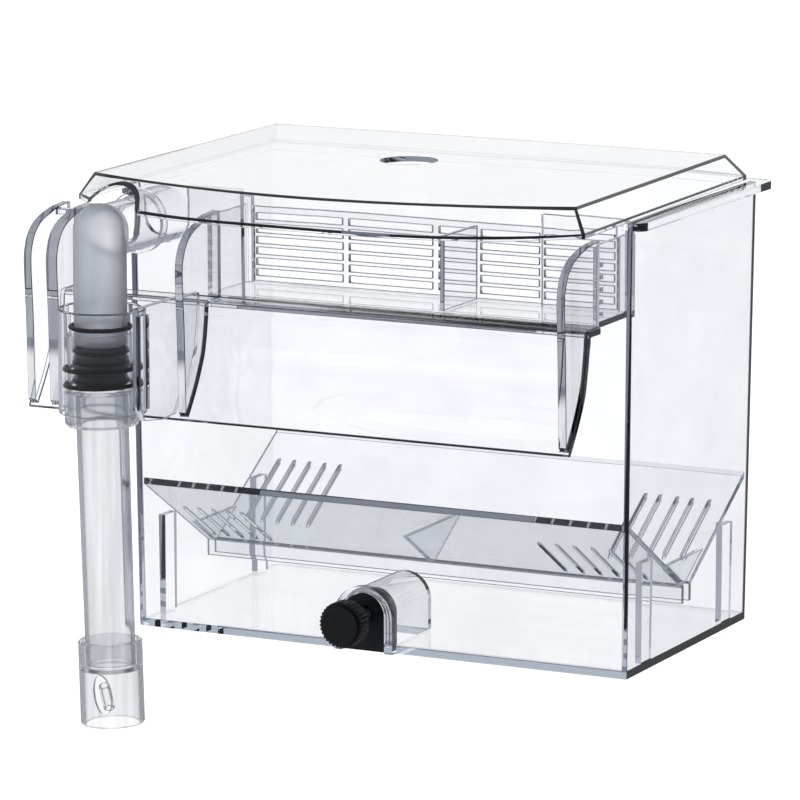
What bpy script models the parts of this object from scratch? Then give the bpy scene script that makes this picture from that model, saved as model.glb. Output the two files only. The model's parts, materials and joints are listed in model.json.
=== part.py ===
"""Hang-on fish breeding box: clear tank, overflow spout, strainer, lid, V tray, levelling screw and riser tube.

Run with: blender --background --python part.py
Units are metres with +Z up. Shapes are laid out in millimetres from the tank's front, right, lower corner,
and the scene's origin is the middle of the seat that rests on the aquarium's rim.
"""

import math

import bmesh
import bpy
from mathutils import Matrix, Vector

MM = 0.001

# Seat on the aquarium's rim, in tank millimetres.
SEAT = Vector((-80.5, -4.5, 100.0))

# Tank
WIDTH, DEPTH, HEIGHT = 161.0, 90.4, 131.6
LEAN = 1.45  # each wall leans out by this much at the top
WALL = 2.1
FLOOR = -0.7  # underside of the tank
EDGE_R = 0.5
CORNER_R = 3.0  # upright corners, all but the front right one
RIM_LOW, RIM_TOP = 130.2, 132.6
NOTCH_LEFT, NOTCH_RIGHT, SILL = -124.0, -27.0, 99.9

# Outflow pipe and riser
PIPE_X, PIPE_Z, RISER_Y = -149.8, 124.8, -40.0
PIPE_R = 7.8
TILT = math.radians(-1.6)

# Levelling screw
KNOB_X, KNOB_Z = -83.5, 10.4

# Fry tray
TRAY_TOP, TRAY_FALL, TRAY_Y0 = 44.5, 0.615, 1.9
MID_Y = DEPTH / 2


def clear_scene():
    for obj in list(bpy.data.objects):
        bpy.data.objects.remove(obj, do_unlink=True)


def make_collection(name, hidden):
    coll = bpy.data.collections.new(name)
    bpy.context.scene.collection.children.link(coll)
    coll.hide_render = hidden
    return coll


clear_scene()
PARTS = make_collection("fish_breeding_box", False)
CUTTERS = make_collection("cutters", True)


def material(name, color, roughness, transmission=0.0, metallic=0.0, alpha=1.0):
    mat = bpy.data.materials.new(name)
    mat.use_nodes = True
    bsdf = mat.node_tree.nodes["Principled BSDF"]
    bsdf.inputs["Base Color"].default_value = (*color, 1.0)
    bsdf.inputs["Roughness"].default_value = roughness
    bsdf.inputs["Metallic"].default_value = metallic
    bsdf.inputs["Transmission Weight"].default_value = transmission
    bsdf.inputs["IOR"].default_value = 1.49
    bsdf.inputs["Alpha"].default_value = alpha
    mat.diffuse_color = (*color, alpha)
    return mat


def spot(x, y, z):
    """Scene position of a point given in tank millimetres."""
    return (Vector((x, y, z)) - SEAT) * MM


def new_object(name, mesh, where=(0, 0, 0), helper=False):
    obj = bpy.data.objects.new(name, mesh)
    (CUTTERS if helper else PARTS).objects.link(obj)
    obj.location = where
    if helper:
        obj.hide_render = True
        obj.display_type = "WIRE"
    return obj


def finish(obj, mat, smooth=None):
    obj.data.materials.clear()
    obj.data.materials.append(mat)
    if smooth:
        for poly in obj.data.polygons:
            poly.use_smooth = True
        obj.data.set_sharp_from_angle(angle=math.radians(smooth))
    return obj


def baked(obj):
    """Mesh object with the evaluated shape of a curve or of a mesh with modifiers."""
    bpy.context.view_layer.update()
    graph = bpy.context.evaluated_depsgraph_get()
    mesh = bpy.data.meshes.new_from_object(obj.evaluated_get(graph))
    bm = bmesh.new()
    bm.from_mesh(mesh)
    bmesh.ops.remove_doubles(bm, verts=bm.verts, dist=1e-6)
    bmesh.ops.recalc_face_normals(bm, faces=bm.faces)
    bm.to_mesh(mesh)
    bm.free()
    name, old = obj.name, obj.data
    obj.name = name + "_source"
    new = bpy.data.objects.new(name, mesh)
    for coll in obj.users_collection:
        coll.objects.link(new)
    new.matrix_world = obj.matrix_world.copy()
    new.hide_render, new.display_type = obj.hide_render, obj.display_type
    bpy.data.objects.remove(obj, do_unlink=True)
    mesh.name = name
    return new


TURN = {
    "X": Matrix(((0, 0, 1), (1, 0, 0), (0, 1, 0))),
    "Y": Matrix(((1, 0, 0), (0, 0, -1), (0, 1, 0))),
    "Z": Matrix.Identity(3),
}


def sheet(name, rings, axis, lo, hi, helper=False):
    """Flat outline extruded along an axis. Outlines: (y, z) along X, (x, z) along Y, (x, y) along Z, all in tank mm."""
    curve = bpy.data.curves.new(name, "CURVE")
    curve.dimensions = "2D"
    curve.fill_mode = "BOTH"
    curve.extrude = (hi - lo) / 2 * MM
    for ring in rings:
        spline = curve.splines.new("POLY")
        spline.points.add(len(ring) - 1)
        for point, (u, v) in zip(spline.points, ring):
            point.co = (u * MM, v * MM, 0, 1)
        spline.use_cyclic_u = True
    middle = (lo + hi) / 2
    offset = {"X": (middle, 0, 0), "Y": (0, middle, 0), "Z": (0, 0, middle)}[axis]
    obj = new_object(name, curve, spot(*offset), helper)
    obj.rotation_euler = TURN[axis].to_euler()
    return baked(obj)


def block(name, x0, x1, y0, y1, z0, z1, helper=False):
    bm = bmesh.new()
    bmesh.ops.create_cube(bm, size=1.0)
    bmesh.ops.scale(bm, vec=Vector((x1 - x0, y1 - y0, z1 - z0)) * MM, verts=bm.verts)
    mesh = bpy.data.meshes.new(name)
    bm.to_mesh(mesh)
    bm.free()
    return new_object(name, mesh, spot((x0 + x1) / 2, (y0 + y1) / 2, (z0 + z1) / 2), helper)


def pipe(name, points, radius, sides, helper=False):
    """Round solid bar along a line of tank points."""
    curve = bpy.data.curves.new(name, "CURVE")
    curve.dimensions = "3D"
    curve.bevel_depth = radius * MM
    curve.bevel_resolution = (sides - 4) // 2
    curve.use_fill_caps = True
    spline = curve.splines.new("POLY")
    spline.points.add(len(points) - 1)
    first = spot(*points[0])
    for point, co in zip(spline.points, points):
        point.co = (*(spot(*co) - first), 1)
    return baked(new_object(name, curve, first, helper))


def turned(name, profile, where, steps=40, helper=False):
    """Closed ring turned about Z. The profile is (radius, height) in mm, down the outside and up the inside."""
    bm = bmesh.new()
    verts = [bm.verts.new((r * MM, 0, z * MM)) for r, z in profile]
    closed = min(r for r, _ in profile) > 0
    for a, b in zip(verts, verts[1:] + (verts[:1] if closed else [])):
        if b is not None:
            bm.edges.new((a, b))
    mesh = bpy.data.meshes.new(name)
    bm.to_mesh(mesh)
    bm.free()
    obj = new_object(name, mesh, where, helper)
    screw = obj.modifiers.new("Screw", "SCREW")
    screw.steps = screw.render_steps = steps
    screw.use_merge_vertices = True
    screw.merge_threshold = 1e-5
    screw.use_smooth_shade = True
    return obj


def ring(name, radius, wire, where, sides=36, wire_sides=8):
    """Round rubber ring lying flat."""
    bpy.ops.mesh.primitive_torus_add(
        major_segments=sides, minor_segments=wire_sides, major_radius=radius * MM, minor_radius=wire * MM
    )
    obj = bpy.context.object
    obj.name = obj.data.name = name
    for coll in list(obj.users_collection):
        coll.objects.unlink(obj)
    PARTS.objects.link(obj)
    obj.location = where
    return obj


def boolean(base, others, operation):
    for other in others:
        if other.name in PARTS.objects:
            PARTS.objects.unlink(other)
            CUTTERS.objects.link(other)
        other.hide_render = True
        other.display_type = "WIRE"
        mod = base.modifiers.new(operation.title() + " " + other.name, "BOOLEAN")
        mod.operation = operation
        mod.solver = "EXACT"
        mod.object = other
    return base


def join(base, *others):
    return boolean(base, others, "UNION")


def cut(base, *others):
    return boolean(base, others, "DIFFERENCE")


def rounded(x0, x1, y0, y1, r, n=5):
    """Rectangle with round corners, anticlockwise."""
    points = []
    for cx, cy, start in ((x1 - r, y1 - r, 0), (x0 + r, y1 - r, 90), (x0 + r, y0 + r, 180), (x1 - r, y0 + r, 270)):
        for i in range(n + 1):
            a = math.radians(start + 90 * i / n)
            points.append((cx + r * math.cos(a), cy + r * math.sin(a)))
    return points


def arch(cx, base, centre, half, n=14):
    """Door-shaped outline with a round top."""
    points = [(cx - half, base), (cx + half, base)]
    for i in range(n + 1):
        a = math.pi * i / n
        points.append((cx + half * math.cos(a), centre + half * math.sin(a)))
    return points


def disc(cx, cy, r, n=40):
    return [(cx + r * math.cos(2 * math.pi * i / n), cy + r * math.sin(2 * math.pi * i / n)) for i in range(n)]


def merged_blocks(name, boxes):
    """One helper mesh that holds several boxes, given as x0, x1, y0, y1, z0, z1 in tank mm."""
    bm = bmesh.new()
    for x0, x1, y0, y1, z0, z1 in boxes:
        made = bmesh.ops.create_cube(bm, size=1.0)["verts"]
        bmesh.ops.scale(bm, vec=Vector((x1 - x0, y1 - y0, z1 - z0)) * MM, verts=made)
        bmesh.ops.translate(bm, vec=spot((x0 + x1) / 2, (y0 + y1) / 2, (z0 + z1) / 2), verts=made)
    mesh = bpy.data.meshes.new(name)
    bm.to_mesh(mesh)
    bm.free()
    return new_object(name, mesh, (0, 0, 0), True)


clear = material("clear_plastic", (0.90, 0.93, 0.97), 0.05, 0.9, alpha=0.35)
lid_clear = material("lid_plastic", (0.92, 0.95, 0.98), 0.04, 0.9, alpha=0.35)
tray_clear = material("tray_plastic", (0.88, 0.91, 0.95), 0.08, 0.9, alpha=0.4)
milky = material("milky_plastic", (0.82, 0.84, 0.88), 0.25, 0.6, alpha=0.7)
black = material("black_plastic", (0.012, 0.013, 0.016), 0.5)
rubber = material("black_rubber", (0.01, 0.01, 0.012), 0.7)


# ---------------------------------------------------------------- tank

def tank_shell():
    bm = bmesh.new()
    bmesh.ops.create_cube(bm, size=1.0)
    bmesh.ops.scale(bm, vec=Vector((WIDTH, DEPTH, HEIGHT - FLOOR)) * MM, verts=bm.verts)
    top = [v for v in bm.verts if v.co.z > 0]
    for v in top:
        v.co.x += math.copysign(LEAN * MM, v.co.x)
        v.co.y += math.copysign(LEAN * MM, v.co.y)
    bmesh.ops.delete(bm, geom=[f for f in bm.faces if f.normal.z > 0.9], context="FACES_ONLY")
    upright = [
        e for e in bm.edges
        if abs(e.verts[0].co.z - e.verts[1].co.z) > 0.05 and not (e.verts[0].co.x > 0 and e.verts[0].co.y < 0)
    ]
    bmesh.ops.bevel(
        bm, geom=upright, offset=CORNER_R * MM, offset_type="OFFSET", segments=4, profile=0.5,
        affect="EDGES", clamp_overlap=True,
    )
    mesh = bpy.data.meshes.new("box_body")
    bm.to_mesh(mesh)
    bm.free()
    obj = new_object("box_body", mesh, spot(-WIDTH / 2, DEPTH / 2, (HEIGHT + FLOOR) / 2))
    solid = obj.modifiers.new("Solidify", "SOLIDIFY")
    solid.thickness = WALL * MM
    solid.offset = -1
    solid.use_even_offset = True
    bevel = obj.modifiers.new("Bevel", "BEVEL")
    bevel.width = EDGE_R * MM
    bevel.segments = 2
    bevel.limit_method = "ANGLE"
    bevel.angle_limit = math.radians(40)
    return obj


box = tank_shell()
rim = sheet(
    "rim_flange",
    [rounded(-165.2, 5.0, -1.75, 95.6, 3.6), rounded(-160.4, -0.6, 0.7, 89.8, 1.2)],
    "Z", RIM_LOW, RIM_TOP, True,
)
boss = sheet("screw_boss", [arch(KNOB_X, -0.5, 9.5, 9.6)], "Y", -2.8, 1.2, True)
tunnel = sheet("screw_tunnel", [arch(KNOB_X, -0.5, KNOB_Z, 8.0)], "Y", 0.6, 27.4, True)
join(box, rim, boss, tunnel)

POSTS = (("left", 12.0, 19.0), ("left", 71.4, 78.4), ("right", 12.0, 19.0), ("right", 71.4, 78.4))
for number, (side, y0, y1) in enumerate(POSTS):
    depth = y1 if y1 < MID_Y else DEPTH - y0
    height = TRAY_TOP - (depth - TRAY_Y0) * TRAY_FALL - 2.8
    x0, x1 = (-160.2, -157.0) if side == "left" else (-4.0, -0.8)
    join(box, block(f"tray_post_{number}", x0, x1, y0, y1, 0.7, height, True))

cut(
    box,
    sheet("screw_recess", [arch(KNOB_X, -6.0, KNOB_Z, 6.95)], "Y", -8.0, 26.2, True),
    block("outflow_notch", NOTCH_LEFT, NOTCH_RIGHT, -4.0, 2.6, SILL, 140.0, True),
    sheet(
        "pipe_notch",
        [[(PIPE_X + 8.2 * math.cos(math.pi * (1 + i / 14)), PIPE_Z + 8.2 * math.sin(math.pi * (1 + i / 14))) for i in range(15)]
         + [(PIPE_X + 8.2, 140.0), (PIPE_X - 8.2, 140.0)]],
        "Y", -4.0, 3.6, True,
    ),
)
finish(box, clear)


# ---------------------------------------------------------------- overflow spout

CURTAIN = [
    (-1.9, 100.0), (-1.9, 101.8), (-9.0, 101.8), (-10.2, 101.2), (-10.6, 99.1), (-10.8, 96.5), (-12.4, 88.2),
    (-14.6, 82.8), (-18.2, 76.4), (-23.6, 68.6), (-23.0, 67.9), (-22.0, 68.0), (-16.4, 76.0), (-12.8, 82.2),
    (-10.7, 87.8), (-9.0, 96.5), (-8.6, 100.0),
]
FIN = [
    (-2.2, 100.9), (-2.2, 126.9), (-9.5, 126.3), (-16.5, 124.6), (-20.4, 122.9), (-23.2, 120.6), (-25.0, 117.6),
    (-26.0, 113.6), (-25.9, 107.4), (-25.2, 97.0), (-24.8, 86.0), (-24.6, 77.6), (-24.3, 70.6), (-22.9, 69.3),
    (-17.3, 76.2), (-13.7, 82.5), (-11.6, 88.0), (-9.9, 96.6), (-9.6, 100.9),
]
FIN_HALF = 1.3
FINS = (-9.6, -131.6, -182.2)
TWIN_X, TWIN_HALF = -174.1, 1.9  # second fin of the left pair

spout = sheet("overflow_spout", [CURTAIN], "X", FINS[2] - 1.7, FINS[0] + 1.7)
for number, (x, half) in enumerate([(x, FIN_HALF) for x in FINS] + [(TWIN_X, TWIN_HALF)]):
    join(spout, sheet(f"fin_{number}", [FIN], "X", x - half, x + half, True))
join(spout, block("fin_tab", FINS[2] - 1.0, TWIN_X + 1.6, -11.0, -8.4, 124.2, 125.9, True))
finish(spout, clear)


def curtain_front(z):
    """Depth of the curtain's front face at a height."""
    points = [(-10.5, 101.8), (-10.8, 96.5), (-12.4, 88.2), (-14.6, 82.8), (-18.2, 76.4), (-23.6, 68.6)]
    for (y0, z0), (y1, z1) in zip(points, points[1:]):
        if z1 <= z <= z0:
            return y0 + (y1 - y0) * (z0 - z) / (z0 - z1)
    return points[0][0]


# ---------------------------------------------------------------- pipe bracket

SLEEVE_OUT, SLEEVE_IN = 12.4, 11.5
bracket = turned(
    "pipe_bracket",
    [(SLEEVE_OUT, 102.6), (SLEEVE_OUT, 72.4), (SLEEVE_OUT - 0.4, 72.0), (SLEEVE_IN, 72.0), (SLEEVE_IN, 102.6), (12.0, 103.0)],
    spot(PIPE_X, RISER_Y, 0), 44,
)
web_back = [(curtain_front(z) - 0.5, z) for z in (70.0, 76.4, 82.8, 88.2, 96.5, 101.4)]
web = [(-45.5, 104.4), (-45.5, 76.0), (-42.0, 71.0), (-30.0, 69.4)] + web_back + [(-11.3, 104.4)]
join(
    bracket,
    cut(
        join(
            sheet("bracket_web", [web], "X", -136.2, -134.2, True),
            block("bracket_neck", -140.0, -135.2, -42.6, -37.4, 74.0, 101.6, True),
        ),
        pipe("bracket_web_bore", [(PIPE_X, RISER_Y, 60), (PIPE_X, RISER_Y, 110)], SLEEVE_IN + 0.25, 44, True),
    ),
)
finish(bracket, clear)


# ---------------------------------------------------------------- lid

def lid_top_front(x):
    return -30.9 - 16.6 * (1 - ((x + 79.6) / 76.9) ** 2)


def lid_low_front(x):
    return -34.2 - 0.024 * (x + 79.3) - 26.0 * (1 - abs((x + 79.3) / 81.7) ** 3.2)


def lid_shell():
    steps = 18
    top_x = [-156.5 + (153.8 * i) / steps for i in range(steps + 1)]
    low_x = [-161.0 + (163.4 * i) / steps for i in range(steps + 1)]
    top = [(-6.2, 83.8), (-80.5, 86.0), (-157.9, 85.6)] + [(x, lid_top_front(x)) for x in top_x]
    low = [(-1.5, 89.0), (-80.5, 91.2), (-161.2, 90.8)] + [(x, lid_low_front(x)) for x in low_x]
    levels = [[(x, y, 141.0) for x, y in top], [(x, y, 134.4) for x, y in low], [(x, y, 133.0) for x, y in low]]
    bm = bmesh.new()
    rings = [[bm.verts.new(spot(*co)) for co in level] for level in levels]
    bm.faces.new(rings[0])
    for upper, lower in zip(rings, rings[1:]):
        for i in range(len(upper)):
            j = (i + 1) % len(upper)
            bm.faces.new((upper[i], lower[i], lower[j], upper[j]))
    bmesh.ops.recalc_face_normals(bm, faces=bm.faces)
    if sum(f.normal.z for f in bm.faces if len(f.verts) > 4) < 0:
        bmesh.ops.reverse_faces(bm, faces=bm.faces)
    mesh = bpy.data.meshes.new("lid")
    bm.to_mesh(mesh)
    bm.free()
    obj = new_object("lid", mesh)
    solid = obj.modifiers.new("Solidify", "SOLIDIFY")
    solid.thickness = 1.6 * MM
    solid.offset = -1
    solid.use_even_offset = True
    return obj


lid = lid_shell()
cut(
    lid,
    sheet("feeding_hole", [disc(-85.0, 31.0, 8.65)], "Z", 130.0, 150.0, True),
    sheet("lid_notch", [arch(-142.4, 120.0, 123.0, 16.0, 22)], "Y", -75.0, -18.0, True),
)
finish(lid, lid_clear)


# ---------------------------------------------------------------- strainer

BASKET_L, BASKET_R, BASKET_Y0, BASKET_Y1 = -138.3, -12.2, 2.2, 28.2
BASKET_Z, BASKET_TOP = 100.2, 124.4
channel = [
    (BASKET_L, BASKET_Z), (BASKET_R, BASKET_Z), (BASKET_R, BASKET_TOP), (BASKET_R - 1.5, BASKET_TOP),
    (BASKET_R - 1.5, BASKET_Z + 1.5), (BASKET_L + 1.5, BASKET_Z + 1.5), (BASKET_L + 1.5, BASKET_TOP), (BASKET_L, BASKET_TOP),
]
basket = sheet("strainer_basket", [channel], "Y", BASKET_Y0, BASKET_Y1)
join(
    basket,
    block("sill_tongue", NOTCH_LEFT + 0.5, NOTCH_RIGHT - 0.5, -1.55, 3.0, BASKET_Z, BASKET_Z + 1.4, True),
    block("post_left", BASKET_L + 0.2, BASKET_L + 3.4, 26.0, 28.0, BASKET_Z + 0.5, BASKET_TOP + 2.6, True),
    block("post_right", BASKET_R - 3.4, BASKET_R - 0.2, 26.0, 28.0, BASKET_Z + 0.5, BASKET_TOP + 2.6, True),
)
cut(
    basket,
    merged_blocks("side_slits", [
        (x - 2.5, x + 2.5, 6.8, 9.8, 103.3 + 3.6 * i, 104.5 + 3.6 * i)
        for x in (BASKET_L + 0.75, BASKET_R - 0.75) for i in range(5)
    ]),
)
finish(basket, tray_clear)

RIBS = (-134.6, -103.6, -74.0, -60.4, -39.4, -16.0)
grille = block("strainer_grille", BASKET_L + 3.8, BASKET_R - 3.8, 26.2, 27.6, BASKET_Z + 1.9, 124.2)
slots = []
for a, b in zip(RIBS, RIBS[1:]):
    for i in range(6):
        z = 103.9 + 3.25 * i
        slots.append((a + 1.2, b - 1.2, 24.0, 30.0, z, z + 1.9))
cut(grille, merged_blocks("grille_slots", slots))
finish(grille, tray_clear)

divider = block("strainer_divider", -61.3, -59.9, 3.0, 25.8, BASKET_Z + 1.8, 123.4)
finish(divider, tray_clear)


# ---------------------------------------------------------------- fry tray

def tray_height(y):
    depth = y if y < MID_Y else DEPTH - y
    return TRAY_TOP - (depth - TRAY_Y0) * TRAY_FALL


SLIT = 1.8  # half of the slit between the panels
TRAY_L, TRAY_R = -158.7, -2.3


def tray_panel(name, mirror, slot_starts):
    edge = MID_Y - SLIT
    profile = [
        (TRAY_Y0, TRAY_TOP), (TRAY_Y0, TRAY_TOP - 2.0), (edge - 1.6, tray_height(edge - 1.6) - 2.0),
        (edge - 1.6, 13.0), (edge, 13.0), (edge, tray_height(edge)),
    ]
    if mirror:
        profile = [(DEPTH - y, z) for y, z in reversed(profile)]
    panel = sheet(name, [profile], "X", TRAY_L, TRAY_R)
    y0, y1 = (55.4, 77.0) if mirror else (18.5, 37.9)
    boxes = [(x - 0.55, x + 0.55, y0, y1, 10.0, 50.0) for x in slot_starts]
    cut(panel, merged_blocks(name + "_slots", boxes))
    return finish(panel, tray_clear)


tray_panel("tray_panel_front", False, [-153.8, -149.0, -144.1, -139.2, -134.4, -36.0, -30.3, -24.6, -18.9, -13.2])
tray_panel("tray_panel_back", True, [-151.9, -146.6, -141.3, -136.0, -130.7, -29.5, -24.7, -19.0, -14.1, -8.5])


def gusset(name, x, reach):
    """Triangular web across the V, resting on both panels."""
    gap = 0.45
    low = MID_Y - 1.0
    outline = [
        (MID_Y - reach, tray_height(MID_Y - reach) + gap),
        (low, tray_height(low) + gap),
        (MID_Y + 1.0, tray_height(low) + gap),
        (MID_Y + reach, tray_height(MID_Y - reach) + gap),
    ]
    return finish(sheet(name, [outline], "X", x - 0.8, x + 0.8), tray_clear)


gusset("tray_gusset_left", -157.6, 13.5)
gusset("tray_gusset_mid", -83.4, 19.2)
gusset("tray_gusset_right", -3.4, 13.5)


# ---------------------------------------------------------------- levelling screw

nut = sheet("levelling_nut", [arch(KNOB_X, -0.3, KNOB_Z, 6.6)], "Y", -1.8, 6.0)
cut(nut, sheet("nut_bore", [disc(KNOB_X, KNOB_Z, 2.85, 28)], "Y", -9.0, 9.0, True))
finish(nut, black)

screw_axis = bpy.data.objects.new("screw_axis", None)
PARTS.objects.link(screw_axis)
screw_axis.location = spot(KNOB_X, -12.0, KNOB_Z)
screw_axis.rotation_euler = (math.radians(90), 0, 0)  # local +Z points out of the tank

TEETH = 34
knurl = []
for i in range(TEETH):
    for share, r in ((0.0, 6.5), (0.28, 6.9), (0.62, 6.9), (0.9, 6.5)):
        a = 2 * math.pi * (i + share) / TEETH
        knurl.append((KNOB_X + r * math.cos(a), KNOB_Z + r * math.sin(a)))
knob = sheet("levelling_knob", [knurl], "Y", -17.2, -12.4)
join(
    knob,
    sheet("knob_face", [disc(KNOB_X, KNOB_Z, 6.1, 34)], "Y", -17.6, -15.0, True),
    sheet("knob_hub", [disc(KNOB_X, KNOB_Z, 4.6, 28)], "Y", -13.0, -9.2, True),
)
finish(knob, black)

screw = turned(
    "levelling_screw",
    [(0.0, 20.6), (2.1, 20.6), (2.45, 20.2), (2.45, 0.4), (2.1, 0.0), (0.0, 0.0)],
    (0, 0, 0), 28,
)
screw.parent = screw_axis
screw.location = (0, 0, -23.8 * MM)
finish(screw, black)

pad = turned("levelling_pad", [(0.0, 0.9), (5.4, 0.9), (5.9, 0.5), (5.9, 0.0), (0.0, 0.0)], (0, 0, 0), 32)
pad.parent = screw_axis
pad.location = (0, 0, 5.9 * MM)
finish(pad, rubber)


# ---------------------------------------------------------------- outflow pipe

SPIGOT_R, DOME_Z = 6.6, 125.6


def domed(radius, low):
    """Profile of an upright bar with a round top, for turned()."""
    top = [(radius * math.sin(math.pi / 2 * i / 8), DOME_Z + radius * math.cos(math.pi / 2 * i / 8)) for i in range(9)]
    return [(0.0, top[0][1])] + top[1:] + [(radius, low), (0.0, low)]


elbow = turned("elbow_pipe", domed(PIPE_R, 92.6), spot(PIPE_X, RISER_Y, 0), 32)
join(
    elbow,
    pipe("elbow_run", [(PIPE_X, RISER_Y + 1.0, PIPE_Z), (PIPE_X, 0.8, PIPE_Z)], PIPE_R + 0.07, 30, True),
    pipe("spigot", [(PIPE_X, RISER_Y, 97.0), (PIPE_X, RISER_Y, 84.0)], SPIGOT_R, 28, True),
)
cut(
    elbow,
    turned("drop_bore", domed(6.4, 96.0), spot(PIPE_X, RISER_Y, 0), 28, True),
    pipe("elbow_bore", [(PIPE_X, RISER_Y + 1.3, PIPE_Z), (PIPE_X, 6.0, PIPE_Z)], 6.2, 26, True),
    pipe("spigot_bore", [(PIPE_X, RISER_Y, 98.0), (PIPE_X, RISER_Y, 80.0)], 5.3, 24, True),
)
finish(elbow, milky)

seal = sheet(
    "elbow_seal",
    [disc(PIPE_X, PIPE_Z, 9.1, 40), disc(PIPE_X, PIPE_Z, PIPE_R + 0.3, 40)],
    "Y", -18.4, -15.6,
)
finish(seal, milky)

ring_top = ring("elbow_ring", 8.75, 0.65, spot(PIPE_X, RISER_Y, 97.4))
finish(ring_top, rubber)

ribs = [(7.6, 92.0)]
for i in range(4):
    z = 90.6 - 3.0 * i
    ribs += [(8.05, z + 0.9), (8.05, z - 0.5), (7.5, z - 0.9)]
ribs += [(7.5, 79.8), (6.95, 79.8), (6.95, 92.0)]
coupler = turned("coupler_sleeve", ribs, spot(PIPE_X, RISER_Y, 0), 36)
finish(coupler, rubber)


# ---------------------------------------------------------------- riser

riser_axis = bpy.data.objects.new("riser_axis", None)
PARTS.objects.link(riser_axis)
riser_axis.location = spot(PIPE_X, RISER_Y, 80.0)
riser_axis.rotation_euler = (0, TILT, 0)

collar = turned(
    "tube_collar",
    [(9.6, 15.6), (9.6, -0.9), (10.9, -1.3), (10.9, -10.6), (10.3, -11.6), (8.05, -11.6), (8.05, -1.7), (8.75, -1.0), (8.75, 15.6)],
    (0, 0, 0), 44,
)
tube = turned("lift_tube", [(7.7, -2.2), (7.3, -82.6), (6.1, -82.6), (6.3, -2.2)], (0, 0, 0), 44)
foot = turned(
    "intake_foot",
    [(9.0, -75.5), (9.4, -76.0), (9.4, -99.9), (9.0, -100.5), (7.9, -100.5), (7.9, -84.4), (6.4, -83.4), (6.4, -83.1), (7.7, -83.1), (7.7, -75.5)],
    (0, 0, 0), 44,
)
for piece in (collar, tube, foot):
    piece.parent = riser_axis
upper_ring = ring("collar_ring_upper", 10.45, 0.65, (0, 0, 5.4 * MM), 40)
lower_ring = ring("collar_ring_lower", 10.45, 0.65, (0, 0, 0.6 * MM), 40)
for piece in (upper_ring, lower_ring):
    piece.parent = riser_axis
    finish(piece, rubber)
finish(collar, milky)
finish(tube, milky)

PORT_TURN = math.radians(11)
port = new_object("air_port", bpy.data.meshes.new("air_port"), (0, 0, 0), True)
bm = bmesh.new()
bmesh.ops.create_cone(bm, cap_ends=True, segments=24, radius1=2.6 * MM, radius2=2.6 * MM, depth=8 * MM)
bmesh.ops.scale(bm, vec=Vector((1.0, 2.3, 1.0)), verts=bm.verts)
bm.to_mesh(port.data)
bm.free()
port.parent = riser_axis
port.rotation_euler = (math.radians(90), math.radians(-7), PORT_TURN)
port.location = (8.6 * MM * math.sin(PORT_TURN), -8.6 * MM * math.cos(PORT_TURN), -90.4 * MM)
cut(foot, port)
finish(foot, milky)

nipple = turned("air_nipple", [(1.6, 3.4), (1.7, 3.0), (1.7, -5.0), (0.9, -5.0), (0.9, 3.4)], (0, 0, 0), 24)
nipple.parent = riser_axis
nipple.location = (5.2 * MM * math.sin(PORT_TURN), -5.2 * MM * math.cos(PORT_TURN), -91.0 * MM)
nipple.rotation_euler = (math.radians(28), 0, PORT_TURN)
finish(nipple, milky)

for thing in (bracket, collar, tube, foot, coupler, nipple, screw, pad, ring_top, upper_ring, lower_ring):
    for poly in thing.data.polygons:
        poly.use_smooth = True
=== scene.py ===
"""Looks of the hang-on fish breeding box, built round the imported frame.

Shapes are laid out in millimetres from the tank's front, right, lower corner, as in part.py, and turned into the
row frame's metres by spot(). Every visible piece stands for the CAD node of the same shape, with finer curves,
moulded edge radii and the small details that the solids leave out.
"""

import json
import math

import bmesh
import bpy
from mathutils import Matrix, Vector

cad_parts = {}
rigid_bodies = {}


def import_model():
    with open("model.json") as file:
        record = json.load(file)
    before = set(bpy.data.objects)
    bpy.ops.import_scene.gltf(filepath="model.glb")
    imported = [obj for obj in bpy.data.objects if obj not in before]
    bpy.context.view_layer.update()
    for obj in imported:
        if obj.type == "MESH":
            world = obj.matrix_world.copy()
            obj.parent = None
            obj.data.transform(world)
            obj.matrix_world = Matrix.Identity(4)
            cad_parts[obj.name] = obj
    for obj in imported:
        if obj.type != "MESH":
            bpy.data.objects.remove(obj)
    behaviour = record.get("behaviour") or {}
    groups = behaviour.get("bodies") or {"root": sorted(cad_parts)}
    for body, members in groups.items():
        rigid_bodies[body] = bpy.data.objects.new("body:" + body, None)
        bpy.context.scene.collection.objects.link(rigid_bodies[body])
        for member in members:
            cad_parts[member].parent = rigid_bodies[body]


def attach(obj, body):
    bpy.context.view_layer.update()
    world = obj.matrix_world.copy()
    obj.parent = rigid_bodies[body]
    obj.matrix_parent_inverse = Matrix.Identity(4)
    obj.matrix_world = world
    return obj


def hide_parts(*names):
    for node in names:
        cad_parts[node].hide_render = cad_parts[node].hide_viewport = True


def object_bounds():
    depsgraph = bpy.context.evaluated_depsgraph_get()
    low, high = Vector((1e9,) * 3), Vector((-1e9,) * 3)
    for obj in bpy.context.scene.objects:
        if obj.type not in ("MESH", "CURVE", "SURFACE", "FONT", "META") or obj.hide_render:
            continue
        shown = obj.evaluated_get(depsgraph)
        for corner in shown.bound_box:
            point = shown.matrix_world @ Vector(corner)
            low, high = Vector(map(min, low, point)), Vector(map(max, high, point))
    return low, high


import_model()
CAD_BOX = [list(corner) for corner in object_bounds()]

MM = 0.001
SEAT = Vector((-80.5, -4.5, 100.0))

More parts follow.
